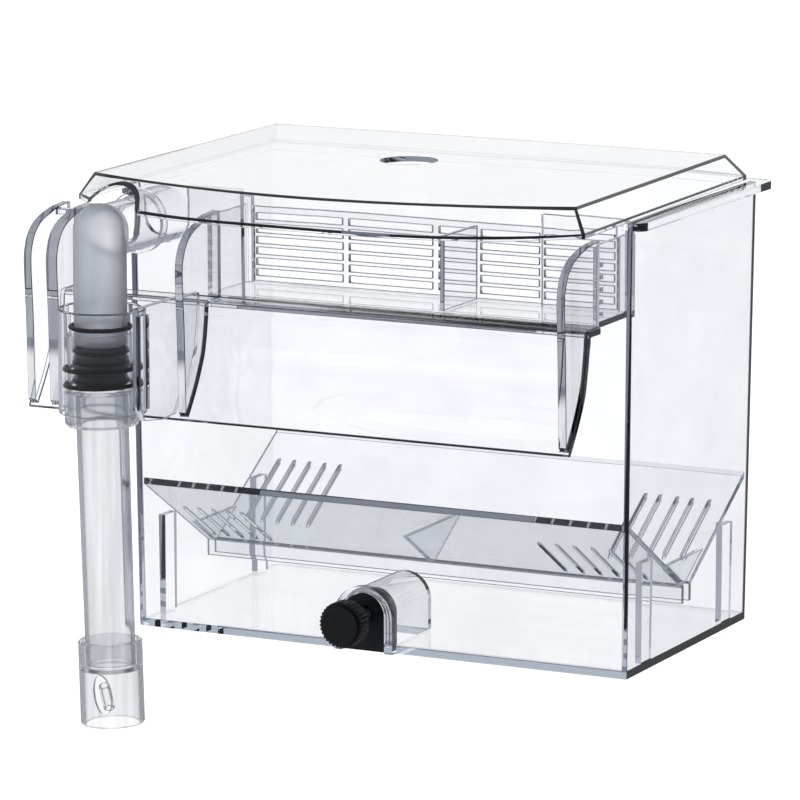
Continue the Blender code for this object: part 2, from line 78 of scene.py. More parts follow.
WIDTH, DEPTH, HEIGHT = 161.0, 90.4, 131.6
LEAN = 1.45
WALL = 2.1
FLOOR = -0.7  # underside of the tank
CORNER_R = 3.0  # upright corners, all but the front right one
RIM_LOW, RIM_TOP = 130.2, 132.6
NOTCH_LEFT, NOTCH_RIGHT, SILL = -124.0, -27.0, 99.9
PIPE_X, PIPE_Z, RISER_Y = -149.8, 124.8, -40.0
PIPE_R, DOME_Z = 7.8, 125.6
TILT = math.radians(-1.6)
KNOB_X, KNOB_Z = -83.5, 10.4
TRAY_TOP, TRAY_FALL, TRAY_Y0 = 44.5, 0.615, 1.9
MID_Y = DEPTH / 2

SCENE = bpy.context.scene
SHOWN = bpy.data.collections.new("breeding_box_looks")
SCENE.collection.children.link(SHOWN)
HELPERS = bpy.data.collections.new("helpers")
SCENE.collection.children.link(HELPERS)
HELPERS.hide_render = True


# ---------------------------------------------------------------- camera

camera_data = bpy.data.cameras.new("camera")
camera = bpy.data.objects.new("camera", camera_data)
SCENE.collection.objects.link(camera)
camera.location = (0.7027, -1.4052, 0.2694)
camera.rotation_euler = (math.radians(79.4), 0.0, math.radians(26.24))
camera_data.sensor_width = 36.0
camera_data.lens = 247.08
camera_data.clip_start = 0.05
camera_data.clip_end = 30.0
SCENE.camera = camera


# ---------------------------------------------------------------- materials

def node(tree, kind, where=(0, 0), **inputs):
    made = tree.nodes.new(kind)
    made.location = where
    for name, value in inputs.items():
        made.inputs[name.replace("_", " ")].default_value = value
    return made


def ramp(tree, stops, where=(0, 0)):
    made = tree.nodes.new("ShaderNodeValToRGB")
    made.location = where
    elements = made.color_ramp.elements
    while len(elements) < len(stops):
        elements.new(0.5)
    for element, (place, colour) in zip(elements, stops):
        element.position = place
        element.color = (*colour, 1.0)
    return made


def start(name):
    mat = bpy.data.materials.new(name)
    mat.use_nodes = True
    tree = mat.node_tree
    return mat, tree, tree.nodes["Principled BSDF"], tree.nodes["Material Output"]


def moulded_clear(name, tint, absorb, density, rough, wave, ior=1.49, frost=0.0):
    """Injection-moulded clear plastic: faint flow waves, fine handling haze, and depth colour that darkens long paths."""
    mat, tree, bsdf, out = start(name)
    bsdf.inputs["Transmission Weight"].default_value = 1.0
    bsdf.inputs["IOR"].default_value = ior
    coord = node(tree, "ShaderNodeTexCoord", (-1100, 0))
    haze = node(tree, "ShaderNodeTexNoise", (-900, 200), Scale=55.0, Detail=4.0, Roughness=0.6)
    tree.links.new(coord.outputs["Object"], haze.inputs["Vector"])
    low = tuple(c * 0.965 for c in tint)
    shade = ramp(tree, [(0.35, low), (0.65, tint)], (-650, 260))
    tree.links.new(haze.outputs["Fac"], shade.inputs["Fac"])
    tree.links.new(shade.outputs["Color"], bsdf.inputs["Base Color"])
    gloss = node(tree, "ShaderNodeMapRange", (-650, 20))
    gloss.inputs["From Min"].default_value = 0.45
    gloss.inputs["From Max"].default_value = 0.8
    gloss.inputs["To Min"].default_value = rough
    gloss.inputs["To Max"].default_value = rough + 0.03 + frost
    tree.links.new(haze.outputs["Fac"], gloss.inputs["Value"])
    tree.links.new(gloss.outputs["Result"], bsdf.inputs["Roughness"])
    flow = node(tree, "ShaderNodeTexNoise", (-900, -250), Scale=38.0, Detail=1.5, Roughness=0.4, Distortion=0.6)
    tree.links.new(coord.outputs["Object"], flow.inputs["Vector"])
    bump = node(tree, "ShaderNodeBump", (-400, -250), Strength=wave, Distance=0.0004)
    tree.links.new(flow.outputs["Fac"], bump.inputs["Height"])
    tree.links.new(bump.outputs["Normal"], bsdf.inputs["Normal"])
    depth = node(tree, "ShaderNodeVolumeAbsorption", (-100, -300), Density=density)
    depth.inputs["Color"].default_value = (*absorb, 1.0)
    tree.links.new(depth.outputs["Volume"], out.inputs["Volume"])
    return mat


def moulded_milky(name, tint, rough, through, density, ior):
    """Translucent tube plastic: drawn streaks along Z and a cloudy body."""
    mat, tree, bsdf, out = start(name)
    bsdf.inputs["Transmission Weight"].default_value = through
    bsdf.inputs["IOR"].default_value = ior
    coord = node(tree, "ShaderNodeTexCoord", (-1300, 0))
    stretch = node(tree, "ShaderNodeMapping", (-1100, 0))
    stretch.inputs["Scale"].default_value = (1.0, 1.0, 0.05)
    tree.links.new(coord.outputs["Object"], stretch.inputs["Vector"])
    streaks = node(tree, "ShaderNodeTexNoise", (-900, 100), Scale=420.0, Detail=3.0, Roughness=0.5)
    tree.links.new(stretch.outputs["Vector"], streaks.inputs["Vector"])
    low = tuple(c * 0.80 for c in tint)
    shade = ramp(tree, [(0.3, low), (0.7, tint)], (-650, 200))
    tree.links.new(streaks.outputs["Fac"], shade.inputs["Fac"])
    tree.links.new(shade.outputs["Color"], bsdf.inputs["Base Color"])
    gloss = node(tree, "ShaderNodeMapRange", (-650, -80))
    gloss.inputs["To Min"].default_value = rough * 0.7
    gloss.inputs["To Max"].default_value = rough * 1.3
    tree.links.new(streaks.outputs["Fac"], gloss.inputs["Value"])
    tree.links.new(gloss.outputs["Result"], bsdf.inputs["Roughness"])
    bump = node(tree, "ShaderNodeBump", (-400, -250), Strength=0.06, Distance=0.0002)
    tree.links.new(streaks.outputs["Fac"], bump.inputs["Height"])
    tree.links.new(bump.outputs["Normal"], bsdf.inputs["Normal"])
    depth = node(tree, "ShaderNodeVolumeAbsorption", (-100, -300), Density=density)
    depth.inputs["Color"].default_value = (0.20, 0.30, 0.48, 1.0)
    tree.links.new(depth.outputs["Volume"], out.inputs["Volume"])
    return mat


def dull_black(name, dark, light, rough, grain, strength):
    """Black moulded plastic or rubber with a fine spark-eroded grain and worn, lighter patches."""
    mat, tree, bsdf, out = start(name)
    coord = node(tree, "ShaderNodeTexCoord", (-1100, 0))
    patches = node(tree, "ShaderNodeTexNoise", (-900, 200), Scale=260.0, Detail=4.0, Roughness=0.6)
    fine = node(tree, "ShaderNodeTexNoise", (-900, -200), Scale=grain, Detail=2.0)
    for texture in (patches, fine):
        tree.links.new(coord.outputs["Object"], texture.inputs["Vector"])
    shade = ramp(tree, [(0.35, dark), (0.75, light)], (-650, 240))
    tree.links.new(patches.outputs["Fac"], shade.inputs["Fac"])
    tree.links.new(shade.outputs["Color"], bsdf.inputs["Base Color"])
    gloss = node(tree, "ShaderNodeMapRange", (-650, 0))
    gloss.inputs["To Min"].default_value = rough - 0.1
    gloss.inputs["To Max"].default_value = rough + 0.12
    tree.links.new(patches.outputs["Fac"], gloss.inputs["Value"])
    tree.links.new(gloss.outputs["Result"], bsdf.inputs["Roughness"])
    bsdf.inputs["Specular IOR Level"].default_value = 0.3
    bump = node(tree, "ShaderNodeBump", (-400, -220), Strength=strength, Distance=0.0001)
    tree.links.new(fine.outputs["Fac"], bump.inputs["Height"])
    tree.links.new(bump.outputs["Normal"], bsdf.inputs["Normal"])
    return mat


CLEAR = moulded_clear("moulded_clear", (0.985, 0.987, 0.992), (0.10, 0.22, 0.38), 9.0, 0.0, 0.012)
SPOUT = moulded_clear("spout_clear", (0.975, 0.979, 0.987), (0.12, 0.22, 0.36), 7.0, 0.0, 0.012)
LID = moulded_clear("lid_clear", (0.985, 0.987, 0.992), (0.10, 0.22, 0.38), 12.0, 0.0, 0.010)
TRAY = moulded_clear("tray_clear", (0.975, 0.979, 0.987), (0.10, 0.20, 0.36), 9.0, 0.0, 0.020)
# Darker tints for the rounded edge faces of the clear pieces, the lid's darkest: painted edge shade, standing for the
# dark lines that refraction draws along clear plastic edges.
PAINTED_EDGE_SHADE = moulded_clear("moulded_clear_edge", (0.60, 0.63, 0.70), (0.10, 0.22, 0.38), 9.0, 0.0, 0.012)
LID_PAINTED_EDGE_SHADE = moulded_clear("lid_clear_edge", (0.42, 0.45, 0.54), (0.10, 0.22, 0.38), 12.0, 0.0, 0.010)
TRAY_PAINTED_EDGE_SHADE = moulded_clear("tray_clear_edge", (0.60, 0.63, 0.70), (0.10, 0.20, 0.36), 9.0, 0.0, 0.020)
SLEEVE = moulded_clear("sleeve_clear", (0.982, 0.985, 0.99), (0.10, 0.22, 0.38), 9.0, 0.0, 0.012, ior=1.26)
MOUTH = moulded_clear("mouth_clear", (0.985, 0.987, 0.992), (0.4, 0.45, 0.55), 4.0, 0.0, 0.010, ior=1.20)
MILKY = moulded_milky("milky_tube", (0.915, 0.93, 0.96), 0.36, 0.84, 22.0, 1.34)
TUBE = moulded_milky("riser_tube", (0.955, 0.96, 0.972), 0.10, 0.95, 7.0, 1.24)
FOOT = moulded_milky("foot_milky", (0.97, 0.975, 0.984), 0.12, 0.95, 6.0, 1.28)
COLLAR = moulded_clear("collar_clear", (0.98, 0.983, 0.989), (0.14, 0.24, 0.40), 8.0, 0.16, 0.05, ior=1.24, frost=0.05)
BLACK = dull_black("black_plastic", (0.002, 0.0025, 0.004), (0.007, 0.008, 0.012), 0.42, 3200.0, 0.25)
RUBBER = dull_black("black_rubber", (0.001, 0.001, 0.002), (0.004, 0.004, 0.006), 0.50, 4200.0, 0.30)
SMOKE = dull_black("smoke_rubber", (0.012, 0.014, 0.02), (0.035, 0.04, 0.05), 0.22, 2600.0, 0.10)


# ---------------------------------------------------------------- modelling helpers

def spot(x, y, z):
    return (Vector((x, y, z)) - SEAT) * MM


def new_object(name, mesh, where=(0, 0, 0), helper=False):
    obj = bpy.data.objects.new(name, mesh)
    (HELPERS if helper else SHOWN).objects.link(obj)
    obj.location = where
    return obj


def evaluated_mesh(obj):
    bpy.context.view_layer.update()
    graph = bpy.context.evaluated_depsgraph_get()
    return bpy.data.meshes.new_from_object(obj.evaluated_get(graph))


def baked(obj):
    """Mesh object with the evaluated shape of a curve or of a mesh with modifiers."""
    mesh = evaluated_mesh(obj)
    bm = bmesh.new()
    bm.from_mesh(mesh)
    bmesh.ops.remove_doubles(bm, verts=bm.verts, dist=1e-6)
    bmesh.ops.recalc_face_normals(bm, faces=bm.faces)
    bm.to_mesh(mesh)
    bm.free()
    name = obj.name
    obj.name = name + "_source"
    new = bpy.data.objects.new(name, mesh)
    for coll in obj.users_collection:
        coll.objects.link(new)
    new.matrix_world = obj.matrix_world.copy()
    bpy.data.objects.remove(obj, do_unlink=True)
    mesh.name = name
    return new


TURN = {
    "X": Matrix(((0, 0, 1), (1, 0, 0), (0, 1, 0))),
    "Y": Matrix(((1, 0, 0), (0, 0, -1), (0, 1, 0))),
    "Z": Matrix.Identity(3),
}


def sheet(name, rings, axis, lo, hi, helper=False):
    """Flat outline extruded along an axis. Outlines: (y, z) along X, (x, z) along Y, (x, y) along Z, all in tank mm."""
    curve = bpy.data.curves.new(name, "CURVE")
    curve.dimensions = "2D"
    curve.fill_mode = "BOTH"
    curve.extrude = (hi - lo) / 2 * MM
    for ring_points in rings:
        spline = curve.splines.new("POLY")
        spline.points.add(len(ring_points) - 1)
        for point, (u, v) in zip(spline.points, ring_points):
            point.co = (u * MM, v * MM, 0, 1)
        spline.use_cyclic_u = True
    middle = (lo + hi) / 2
    offset = {"X": (middle, 0, 0), "Y": (0, middle, 0), "Z": (0, 0, middle)}[axis]
    obj = new_object(name, curve, spot(*offset), helper)
    obj.rotation_euler = TURN[axis].to_euler()
    return baked(obj)


def block(name, x0, x1, y0, y1, z0, z1, helper=False):
    bm = bmesh.new()
    bmesh.ops.create_cube(bm, size=1.0)
    bmesh.ops.scale(bm, vec=Vector((x1 - x0, y1 - y0, z1 - z0)) * MM, verts=bm.verts)
    mesh = bpy.data.meshes.new(name)
    bm.to_mesh(mesh)
    bm.free()
    return new_object(name, mesh, spot((x0 + x1) / 2, (y0 + y1) / 2, (z0 + z1) / 2), helper)


def merged_blocks(name, boxes):
    bm = bmesh.new()
    for x0, x1, y0, y1, z0, z1 in boxes:
        made = bmesh.ops.create_cube(bm, size=1.0)["verts"]
        bmesh.ops.scale(bm, vec=Vector((x1 - x0, y1 - y0, z1 - z0)) * MM, verts=made)
        bmesh.ops.translate(bm, vec=spot((x0 + x1) / 2, (y0 + y1) / 2, (z0 + z1) / 2), verts=made)
    mesh = bpy.data.meshes.new(name)
    bm.to_mesh(mesh)
    bm.free()
    return new_object(name, mesh, (0, 0, 0), True)


def pipe(name, points, radius, sides, helper=False):
    curve = bpy.data.curves.new(name, "CURVE")
    curve.dimensions = "3D"
    curve.bevel_depth = radius * MM
    curve.bevel_resolution = (sides - 4) // 2
    curve.use_fill_caps = True
    spline = curve.splines.new("POLY")
    spline.points.add(len(points) - 1)
    first = spot(*points[0])
    for point, co in zip(spline.points, points):
        point.co = (*(spot(*co) - first), 1)
    return baked(new_object(name, curve, first, helper))


def turned(name, profile, where, steps=96, helper=False, shut=None):
    """Closed ring turned about Z. The profile is (radius, height) in mm, down the outside and up the inside."""
    bm = bmesh.new()
    verts = [bm.verts.new((r * MM, 0, z * MM)) for r, z in profile]
    closed = min(r for r, _ in profile) > 0 if shut is None else shut
    for a, b in zip(verts, verts[1:] + (verts[:1] if closed else [])):
        bm.edges.new((a, b))
    bmesh.ops.spin(bm, geom=bm.verts[:] + bm.edges[:], cent=(0, 0, 0), axis=(0, 0, 1), angle=2 * math.pi, steps=steps, use_merge=True)
    bmesh.ops.remove_doubles(bm, verts=bm.verts, dist=1e-7)
    bmesh.ops.recalc_face_normals(bm, faces=bm.faces)
    mesh = bpy.data.meshes.new(name)
    bm.to_mesh(mesh)
    bm.free()
    return new_object(name, mesh, where, helper)


def softened(profile, radius, n=4):
    """Turned profile with each corner rounded, in mm."""
    out = []
    count = len(profile)
    for i, (r, z) in enumerate(profile):
        before = Vector(profile[i - 1]) if (i or min(p[0] for p in profile) > 0) else None
        after = Vector(profile[(i + 1) % count]) if (i < count - 1 or min(p[0] for p in profile) > 0) else None
        here = Vector((r, z))
        if before is None or after is None or r < 1e-6:
            out.append((r, z))
            continue
        a, b = before - here, after - here
        if a.length < 1e-6 or b.length < 1e-6:
            out.append((r, z))
            continue
        turn = math.pi - a.angle(b)
        if turn < math.radians(12):
            out.append((r, z))
            continue
        reach = min(radius * math.tan(turn / 2), a.length * 0.45, b.length * 0.45)
        p, q = here + a.normalized() * reach, here + b.normalized() * reach
        for k in range(n + 1):
            t = k / n
            point = p * (1 - t) ** 2 + here * 2 * t * (1 - t) + q * t * t
            out.append((point.x, point.y))
    return out


def ring(name, radius, wire, where, sides=96, wire_sides=20):
    bpy.ops.mesh.primitive_torus_add(
        major_segments=sides, minor_segments=wire_sides, major_radius=radius * MM, minor_radius=wire * MM
    )
    obj = bpy.context.object
    obj.name = obj.data.name = name
    for coll in list(obj.users_collection):
        coll.objects.unlink(obj)
    SHOWN.objects.link(obj)
    obj.location = where
    return obj


def boolean(base, others, operation):
    for other in others:
        if other.name in SHOWN.objects:
            SHOWN.objects.unlink(other)
            HELPERS.objects.link(other)
        mod = base.modifiers.new(operation.title() + " " + other.name, "BOOLEAN")
        mod.operation = operation
        mod.solver = "EXACT"
        mod.object = other
    return base


def join(base, *others):
    return boolean(base, others, "UNION")


def cut(base, *others):
    return boolean(base, others, "DIFFERENCE")


def rounded(x0, x1, y0, y1, r, n=10):
    points = []
    for cx, cy, begin in ((x1 - r, y1 - r, 0), (x0 + r, y1 - r, 90), (x0 + r, y0 + r, 180), (x1 - r, y0 + r, 270)):
        for i in range(n + 1):
            a = math.radians(begin + 90 * i / n)
            points.append((cx + r * math.cos(a), cy + r * math.sin(a)))
    return points


def arch(cx, base, centre, half, n=40):
    points = [(cx - half, base), (cx + half, base)]
    for i in range(n + 1):
        a = math.pi * i / n
        points.append((cx + half * math.cos(a), centre + half * math.sin(a)))
    return points


def disc(cx, cy, r, n=96):
    return [(cx + r * math.cos(2 * math.pi * i / n), cy + r * math.sin(2 * math.pi * i / n)) for i in range(n)]


def edge_softened(mesh, width, angle=38.0, segments=2, rim=False):
    """Rounds the sharp edges of a mesh; with rim set, the rounded faces take the mesh's second material, a darker
    painted edge shade. It returns False, and leaves the mesh as it was, when that tears or swells it.
    """
    bm = bmesh.new()
    bm.from_mesh(mesh)
    bmesh.ops.remove_doubles(bm, verts=bm.verts, dist=2e-6)
    bmesh.ops.dissolve_limit(bm, angle_limit=math.radians(0.5), verts=bm.verts, edges=bm.edges)
    before = bm.calc_volume(signed=False)
    sharp = [e for e in bm.edges if len(e.link_faces) == 2 and e.calc_face_angle(0.0) > math.radians(angle)]
    # With rim, the new rounded faces take material 1, the darker painted edge shade.
    bmesh.ops.bevel(
        bm, geom=sharp, offset=width * MM, offset_type="OFFSET", segments=segments, profile=0.5,
        affect="EDGES", clamp_overlap=True, miter_outer="SHARP", miter_inner="SHARP", material=1 if rim else -1,
    )
    bmesh.ops.remove_doubles(bm, verts=bm.verts, dist=1e-6)
    bmesh.ops.recalc_face_normals(bm, faces=bm.faces)
    after = bm.calc_volume(signed=False)
    torn = sum(1 for e in bm.edges if len(e.link_faces) != 2)
    fine = not torn and abs(after - before) < 0.06 * before
    if fine:
        bm.to_mesh(mesh)
    print(f"softened {mesh.name}: {len(sharp)} edges, torn {torn}, volume {before * 1e9:.0f} -> {after * 1e9:.0f} mm3, {'kept' if fine else 'left'}")
    bm.free()
    return fine


def shown(obj, nodes, body, mat, soften=0.0, smooth=32.0, angle=38.0, segments=2, rim=None):
    """Bakes a built piece, rounds its edges, lays the darker rim material on the rounded faces as painted edge shade
    when rim is given, and makes it stand for CAD nodes on a body.
    """
    mesh = evaluated_mesh(obj)
    mesh.transform(obj.matrix_world)
    name = obj.name
    obj.name = name + "_source"
    bpy.data.objects.remove(obj, do_unlink=True)
    piece = bpy.data.objects.new(name, mesh)
    SHOWN.objects.link(piece)
    mesh.name = name
    mesh.materials.clear()
    mesh.materials.append(mat)
    # The rim material is a darker tint, painted edge shade; edge_softened puts it on the rounded faces.
    if rim:
        mesh.materials.append(rim)
    mesh.polygons.foreach_set("material_index", [0] * len(mesh.polygons))
    if soften:
        edge_softened(mesh, soften, angle, segments, bool(rim))
    mesh.polygons.foreach_set("use_smooth", [True] * len(mesh.polygons))
    mesh.set_sharp_from_angle(angle=math.radians(smooth))
    even = piece.modifiers.new("Even normals", "WEIGHTED_NORMAL")
    even.mode = "FACE_AREA"
    even.weight = 100
    even.keep_sharp = True
    piece.data = evaluated_mesh(piece)
    piece.data.name = name
    piece.modifiers.clear()
    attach(piece, body)
    if nodes:
        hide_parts(*nodes)
    return piece


def clear_helpers():
    for obj in list(HELPERS.objects):
        bpy.data.objects.remove(obj, do_unlink=True)


# ---------------------------------------------------------------- tank

def tank_shell():
    bm = bmesh.new()
    bmesh.ops.create_cube(bm, size=1.0)
    bmesh.ops.scale(bm, vec=Vector((WIDTH, DEPTH, HEIGHT - FLOOR)) * MM, verts=bm.verts)
    for v in [v for v in bm.verts if v.co.z > 0]:
        v.co.x += math.copysign(LEAN * MM, v.co.x)
        v.co.y += math.copysign(LEAN * MM, v.co.y)
    bmesh.ops.delete(bm, geom=[f for f in bm.faces if f.normal.z > 0.9], context="FACES_ONLY")
    upright = [
        e for e in bm.edges
        if abs(e.verts[0].co.z - e.verts[1].co.z) > 0.05 and not (e.verts[0].co.x > 0 and e.verts[0].co.y < 0)
    ]
    bmesh.ops.bevel(
        bm, geom=upright, offset=CORNER_R * MM, offset_type="OFFSET", segments=12, profile=0.5,
        affect="EDGES", clamp_overlap=True,
    )
    mesh = bpy.data.meshes.new("tank_box")
    bm.to_mesh(mesh)
    bm.free()
    obj = new_object("tank_box", mesh, spot(-WIDTH / 2, DEPTH / 2, (HEIGHT + FLOOR) / 2))
    solid = obj.modifiers.new("Solidify", "SOLIDIFY")
    solid.thickness = WALL * MM
    solid.offset = -1
    solid.use_even_offset = True
    return obj


box = tank_shell()
join(
    box,
    sheet("rim_flange", [rounded(-165.2, 5.0, -1.75, 95.6, 3.6), rounded(-160.4, -0.6, 0.7, 89.8, 1.2)], "Z", RIM_LOW, RIM_TOP, True),
    sheet("screw_boss", [arch(KNOB_X, -0.5, 9.5, 9.6)], "Y", -2.8, 1.2, True),
    sheet("screw_tunnel", [arch(KNOB_X, -0.5, KNOB_Z, 8.0)], "Y", 0.6, 27.4, True),
)
for number, (side, y0, y1) in enumerate((("left", 12.0, 19.0), ("left", 71.4, 78.4), ("right", 12.0, 19.0), ("right", 71.4, 78.4))):
    depth = y1 if y1 < MID_Y else DEPTH - y0
    height = TRAY_TOP - (depth - TRAY_Y0) * TRAY_FALL - 2.8
    x0, x1 = (-160.2, -157.0) if side == "left" else (-4.0, -0.8)
    join(box, block(f"tray_post_{number}", x0, x1, y0, y1, 0.7, height, True))
cut(
    box,
    sheet("screw_recess", [arch(KNOB_X, -6.0, KNOB_Z, 6.95)], "Y", -8.0, 26.2, True),
    block("outflow_notch", NOTCH_LEFT, NOTCH_RIGHT, -4.0, 2.6, SILL, 140.0, True),
    sheet(
        "pipe_notch",
        [[(PIPE_X + 8.2 * math.cos(math.pi * (1 + i / 40)), PIPE_Z + 8.2 * math.sin(math.pi * (1 + i / 40))) for i in range(41)]
         + [(PIPE_X + 8.2, 140.0), (PIPE_X - 8.2, 140.0)]],
        "Y", -4.0, 3.6, True,
    ),
)
for number, half in enumerate((8.9, 7.9)):
    cut(box, sheet(f"boss_groove_{number}", [arch(KNOB_X, 1.6, 9.5 + 0.45 * number, half), arch(KNOB_X, 2.2, 9.5 + 0.45 * number, half - 0.35)], "Y", -4.0, -2.2, True))
shown(box, ["box_body"], "tank", CLEAR, soften=0.35, rim=PAINTED_EDGE_SHADE)


# ---------------------------------------------------------------- overflow spout

CURTAIN_FRONT = [(-10.2, 101.2), (-10.6, 99.1), (-10.8, 96.5), (-12.4, 88.2), (-14.6, 82.8), (-18.2, 76.4), (-23.6, 68.6)]
CURTAIN_BACK = [(-22.0, 68.0), (-16.4, 76.0), (-12.8, 82.2), (-10.7, 87.8), (-9.0, 96.5), (-8.6, 100.0)]
FIN_FRONT = [
    (-2.2, 126.9), (-9.5, 126.3), (-16.5, 124.6), (-20.4, 122.9), (-23.2, 120.6), (-25.0, 117.6),
    (-26.0, 113.6), (-25.9, 107.4), (-25.2, 97.0), (-24.8, 86.0), (-24.6, 77.6), (-24.3, 70.6),
]
FIN_BACK = [(-22.9, 69.3), (-17.3, 76.2), (-13.7, 82.5), (-11.6, 88.0), (-9.9, 96.6), (-9.6, 100.9)]
FIN_HALF = 1.3
FINS = (-9.6, -131.6, -182.2)
TWIN_X, TWIN_HALF = -174.1, 1.9  # second fin of the left pair


def smooth_open(points, per=5):
    """Catmull-Rom line through points, ends kept."""
    out = []
    for i in range(len(points) - 1):
        p1, p2 = Vector(points[i]), Vector(points[i + 1])
        p0 = Vector(points[i - 1]) if i else p1 + (p1 - p2)
        p3 = Vector(points[i + 2]) if i + 2 < len(points) else p2 + (p2 - p1)
        for k in range(per):
            t = k / per
            out.append(tuple(0.5 * (
                2 * p1 + (p2 - p0) * t + (2 * p0 - 5 * p1 + 4 * p2 - p3) * t * t
                + (3 * p1 - p0 - 3 * p2 + p3) * t ** 3)))
    out.append(tuple(points[-1]))
    return out


curtain_outline = (
    [(-1.9, 100.0), (-1.9, 101.8), (-9.0, 101.8)] + smooth_open(CURTAIN_FRONT) + [(-23.0, 67.9)] + smooth_open(CURTAIN_BACK)
)
fin_outline = [(-2.2, 100.9)] + smooth_open(FIN_FRONT) + smooth_open(FIN_BACK)
spout = sheet("spout", [curtain_outline], "X", FINS[2] - 1.7, FINS[0] + 1.7)
for number, (x, half) in enumerate([(x, FIN_HALF) for x in FINS] + [(TWIN_X, TWIN_HALF)]):
    join(spout, sheet(f"fin_{number}", [fin_outline], "X", x - half, x + half, True))
join(spout, block("fin_tab", FINS[2] - 1.0, TWIN_X + 1.6, -11.0, -8.4, 124.2, 125.9, True))
shown(spout, ["overflow_spout"], "tank", SPOUT, soften=0.3, rim=PAINTED_EDGE_SHADE)


def curtain_front(z):
    points = [(-10.5, 101.8), (-10.8, 96.5), (-12.4, 88.2), (-14.6, 82.8), (-18.2, 76.4), (-23.6, 68.6)]
    for (y0, z0), (y1, z1) in zip(points, points[1:]):
        if z1 <= z <= z0:
            return y0 + (y1 - y0) * (z0 - z) / (z0 - z1)
    return points[0][0]


# ---------------------------------------------------------------- pipe bracket

SLEEVE_OUT, SLEEVE_IN = 12.4, 11.5
bracket = turned(
    "bracket",
    [(SLEEVE_OUT, 102.6), (SLEEVE_OUT, 72.4), (SLEEVE_OUT - 0.4, 72.0), (SLEEVE_IN, 72.0), (SLEEVE_IN, 102.6), (12.0, 103.0)],
    spot(PIPE_X, RISER_Y, 0), 96,
)
web_back = [(curtain_front(z) - 0.5, z) for z in (70.0, 76.4, 82.8, 88.2, 96.5, 101.4)]
web = [(-45.5, 104.4), (-45.5, 76.0), (-42.0, 71.0), (-30.0, 69.4)] + web_back + [(-11.3, 104.4)]
join(
    bracket,
    cut(
        join(
            sheet("bracket_web", [web], "X", -136.2, -134.2, True),
            block("bracket_neck", -140.0, -135.2, -42.6, -37.4, 74.0, 101.6, True),
        ),
        pipe("bracket_web_bore", [(PIPE_X, RISER_Y, 60), (PIPE_X, RISER_Y, 110)], SLEEVE_IN + 0.25, 96, True),
    ),
)
shown(bracket, ["pipe_bracket"], "tank", SLEEVE, soften=0.25, rim=PAINTED_EDGE_SHADE)


# ---------------------------------------------------------------- lid

def lid_top_front(x):
    return -30.9 - 16.6 * (1 - ((x + 79.6) / 76.9) ** 2)


def lid_low_front(x):
    return -34.2 - 0.024 * (x + 79.3) - 26.0 * (1 - abs((x + 79.3) / 81.7) ** 3.2)


def lid_shell():
    steps = 48
    top_x = [-156.5 + (153.8 * i) / steps for i in range(steps + 1)]
    low_x = [-161.0 + (163.4 * i) / steps for i in range(steps + 1)]
    back = 16

    def bowed(first, last, bow):
        """Back edge from right to left, in one shallow curve."""
        return [
            (first[0] + (last[0] - first[0]) * i / back, first[1] + (last[1] - first[1]) * i / back + bow * math.sin(math.pi * i / back))
            for i in range(back + 1)
        ]

    top = bowed((-6.2, 83.8), (-157.9, 85.6), 1.2) + [(x, lid_top_front(x)) for x in top_x]
    low = bowed((-1.5, 89.0), (-161.2, 90.8), 1.2) + [(x, lid_low_front(x)) for x in low_x]
    levels = [[(x, y, 141.0) for x, y in top], [(x, y, 134.4) for x, y in low], [(x, y, 133.0) for x, y in low]]
    bm = bmesh.new()
    rings = [[bm.verts.new(spot(*co)) for co in level] for level in levels]
    bm.faces.new(rings[0])
    for upper, lower in zip(rings, rings[1:]):
        for i in range(len(upper)):
            j = (i + 1) % len(upper)
            bm.faces.new((upper[i], lower[i], lower[j], upper[j]))
    bmesh.ops.recalc_face_normals(bm, faces=bm.faces)
    if sum(f.normal.z for f in bm.faces if len(f.verts) > 4) < 0:
        bmesh.ops.reverse_faces(bm, faces=bm.faces)
    mesh = bpy.data.meshes.new("lid_cover")
    bm.to_mesh(mesh)
    bm.free()
    obj = new_object("lid_cover", mesh)
    solid = obj.modifiers.new("Solidify", "SOLIDIFY")
    solid.thickness = 1.6 * MM
    solid.offset = -1
    solid.use_even_offset = True
    return obj


lid = lid_shell()
cut(
    lid,
    sheet("feeding_hole", [disc(-85.0, 31.0, 8.65)], "Z", 130.0, 150.0, True),
    sheet("lid_notch", [arch(-142.4, 120.0, 123.0, 16.0, 60)], "Y", -75.0, -18.0, True),
)
shown(lid, ["lid"], "cover", LID, soften=0.7, angle=20.0, rim=LID_PAINTED_EDGE_SHADE)


# ---------------------------------------------------------------- strainer

BASKET_L, BASKET_R, BASKET_Y0, BASKET_Y1 = -138.3, -12.2, 2.2, 28.2
BASKET_Z, BASKET_TOP = 100.2, 124.4
channel = [
    (BASKET_L, BASKET_Z), (BASKET_R, BASKET_Z), (BASKET_R, BASKET_TOP), (BASKET_R - 1.5, BASKET_TOP),
    (BASKET_R - 1.5, BASKET_Z + 1.5), (BASKET_L + 1.5, BASKET_Z + 1.5), (BASKET_L + 1.5, BASKET_TOP), (BASKET_L, BASKET_TOP),
]
basket = sheet("basket", [channel], "Y", BASKET_Y0, BASKET_Y1)
join(
    basket,
    block("sill_tongue", NOTCH_LEFT + 0.5, NOTCH_RIGHT - 0.5, -1.55, 3.0, BASKET_Z, BASKET_Z + 1.4, True),
    block("post_left", BASKET_L + 0.2, BASKET_L + 3.4, 26.0, 28.0, BASKET_Z + 0.5, BASKET_TOP + 2.6, True),
    block("post_right", BASKET_R - 3.4, BASKET_R - 0.2, 26.0, 28.0, BASKET_Z + 0.5, BASKET_TOP + 2.6, True),
)
cut(
    basket,
    merged_blocks("side_slits", [
        (x - 2.5, x + 2.5, 6.8, 9.8, 103.3 + 3.6 * i, 104.5 + 3.6 * i)
        for x in (BASKET_L + 0.75, BASKET_R - 0.75) for i in range(5)
    ]),
)
shown(basket, ["strainer_basket"], "strainer", TRAY, soften=0.22, rim=TRAY_PAINTED_EDGE_SHADE)

